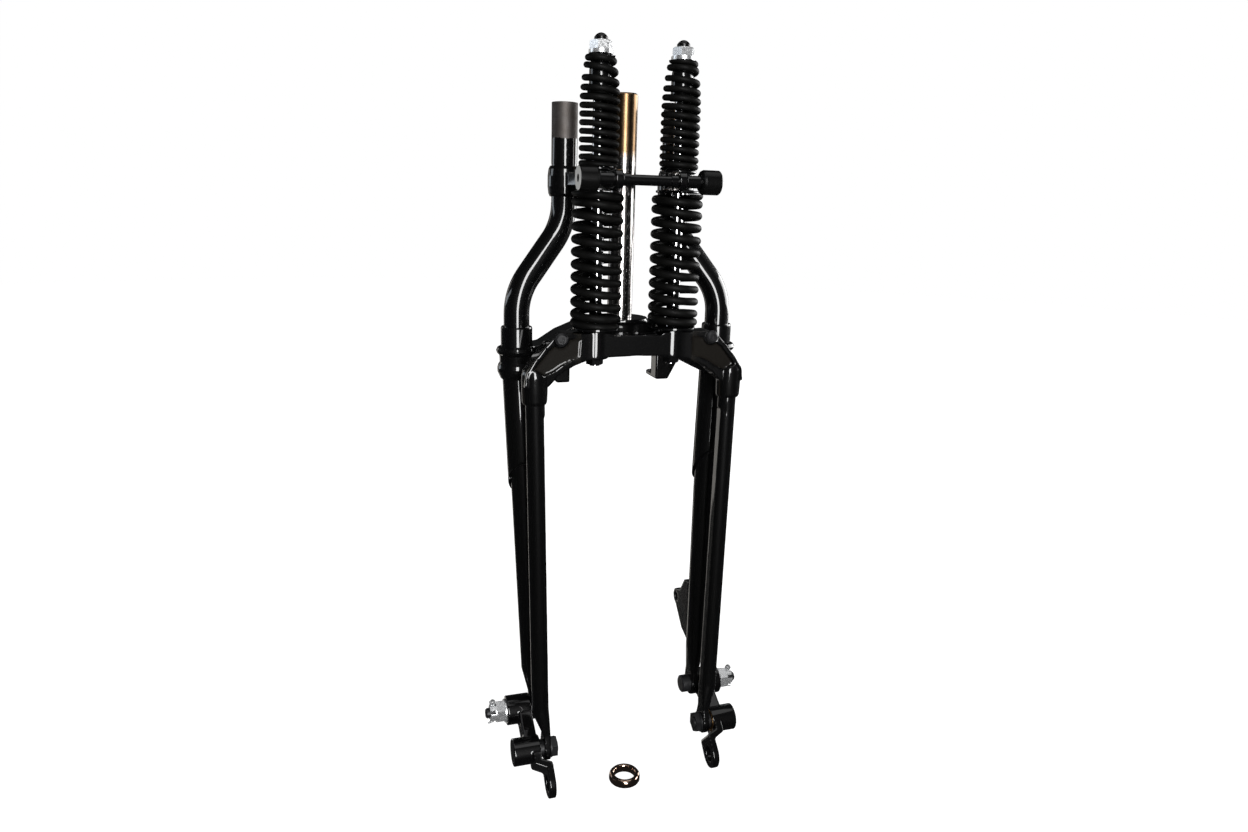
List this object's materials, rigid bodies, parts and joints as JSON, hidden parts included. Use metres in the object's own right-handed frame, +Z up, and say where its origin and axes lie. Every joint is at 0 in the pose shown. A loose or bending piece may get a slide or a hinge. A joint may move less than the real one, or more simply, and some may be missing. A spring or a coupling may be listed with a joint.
{
  "type": "suspension fork",
  "caption": "Leading-link springer fork: rigid rear legs with steering stem, sprung front legs on sliding rods with coil springs, and axle rockers.",
  "frame": {"origin": "on the steering stem's axis at the lower bearing's seat on the rear crown", "axes": "+Z up along the steering stem, -Y towards the front of the fork, +X to the viewer's right seen from the front"},
  "size_m": [0.292, 0.159, 0.7456],
  "materials": {
    "black_paint": "gloss",
    "polished_steel": "polished",
    "plated_steel": "bright plated",
    "blackened_steel": "satin black oxide",
    "bronze": "machined",
    "black_spring": "satin",
    "black_plastic": "gloss"
  },
  "bodies": {
    "rear_fork": {"steering_stem": "polished_steel", "rear_crown": "black_paint", "rear_tube_left": "black_paint", "rear_tube_right": "black_paint", "tube_collar_left": "black_paint", "tube_collar_right": "black_paint", "rear_leg_left": "black_paint", "rear_leg_right": "black_paint", "leg_sleeve_left": "black_paint", "leg_sleeve_right": "black_paint", "brake_anchor": "black_paint", "tube_lug_left": "black_paint", "tube_lug_right": "black_paint", "rod_bracket_left": "black_paint", "rod_bracket_right": "black_paint", "bridge_bushings": "bronze", "bridge_cross_bar": "black_paint", "bridge_end_knobs": "black_plastic", "rear_stud_left": "blackened_steel", "rear_stud_right": "blackened_steel", "rear_stud_washers": "plated_steel", "castle_nuts": "plated_steel", "cotter_pins": "plated_steel"},
    "spring_fork": {"front_crown": "black_paint", "crown_bolts": "blackened_steel", "front_leg_left": "black_paint", "front_leg_right": "black_paint", "cushion_spring_seats": "black_paint", "spring_rod_left": "polished_steel", "spring_rod_right": "polished_steel", "rod_lower_nuts": "blackened_steel", "rod_top_washers": "plated_steel", "recoil_spring_retainers": "black_paint", "rod_top_nuts": "plated_steel", "rod_end_caps": "black_plastic", "front_stud_left": "blackened_steel", "front_stud_right": "blackened_steel", "front_stud_washers": "blackened_steel", "front_stud_nuts": "blackened_steel", "cushion_spring_left": "black_spring", "cushion_spring_right": "black_spring", "recoil_spring_left": "black_spring", "recoil_spring_right": "black_spring"},
    "rocker_left": {"rocker_left": "black_paint", "rear_bushing_left": "bronze", "front_bushing_left": "bronze"},
    "rocker_right": {"rocker_right": "black_paint", "rear_bushing_right": "bronze", "front_bushing_right": "bronze"}
  },
  "joints": [
    {"name": "fork_travel", "type": "slide", "parent": "rear_fork", "child": "spring_fork", "axis": [0, 0, 1], "range_m": [0, 0.04], "stiffness_N_per_m": 3500, "springref_m": -0.004, "deforming": ["cushion_spring_left", "cushion_spring_right", "recoil_spring_left", "recoil_spring_right"]},
    {"name": "rocker_left_swing", "type": "hinge", "parent": "rear_fork", "child": "rocker_left", "pos_m": [-0.111, -0.022, -0.424], "axis": [-1, 0, 0], "range_deg": [0, 49]},
    {"name": "rocker_right_swing", "type": "hinge", "parent": "rear_fork", "child": "rocker_right", "pos_m": [0.111, -0.022, -0.424], "axis": [-1, 0, 0], "range_deg": [0, 49]}
  ],
  "couplings": [
    {"joint": "rocker_left_swing", "follows": "fork_travel", "rad_per_m": 21.06},
    {"joint": "rocker_right_swing", "follows": "fork_travel", "rad_per_m": 21.06}
  ]
}
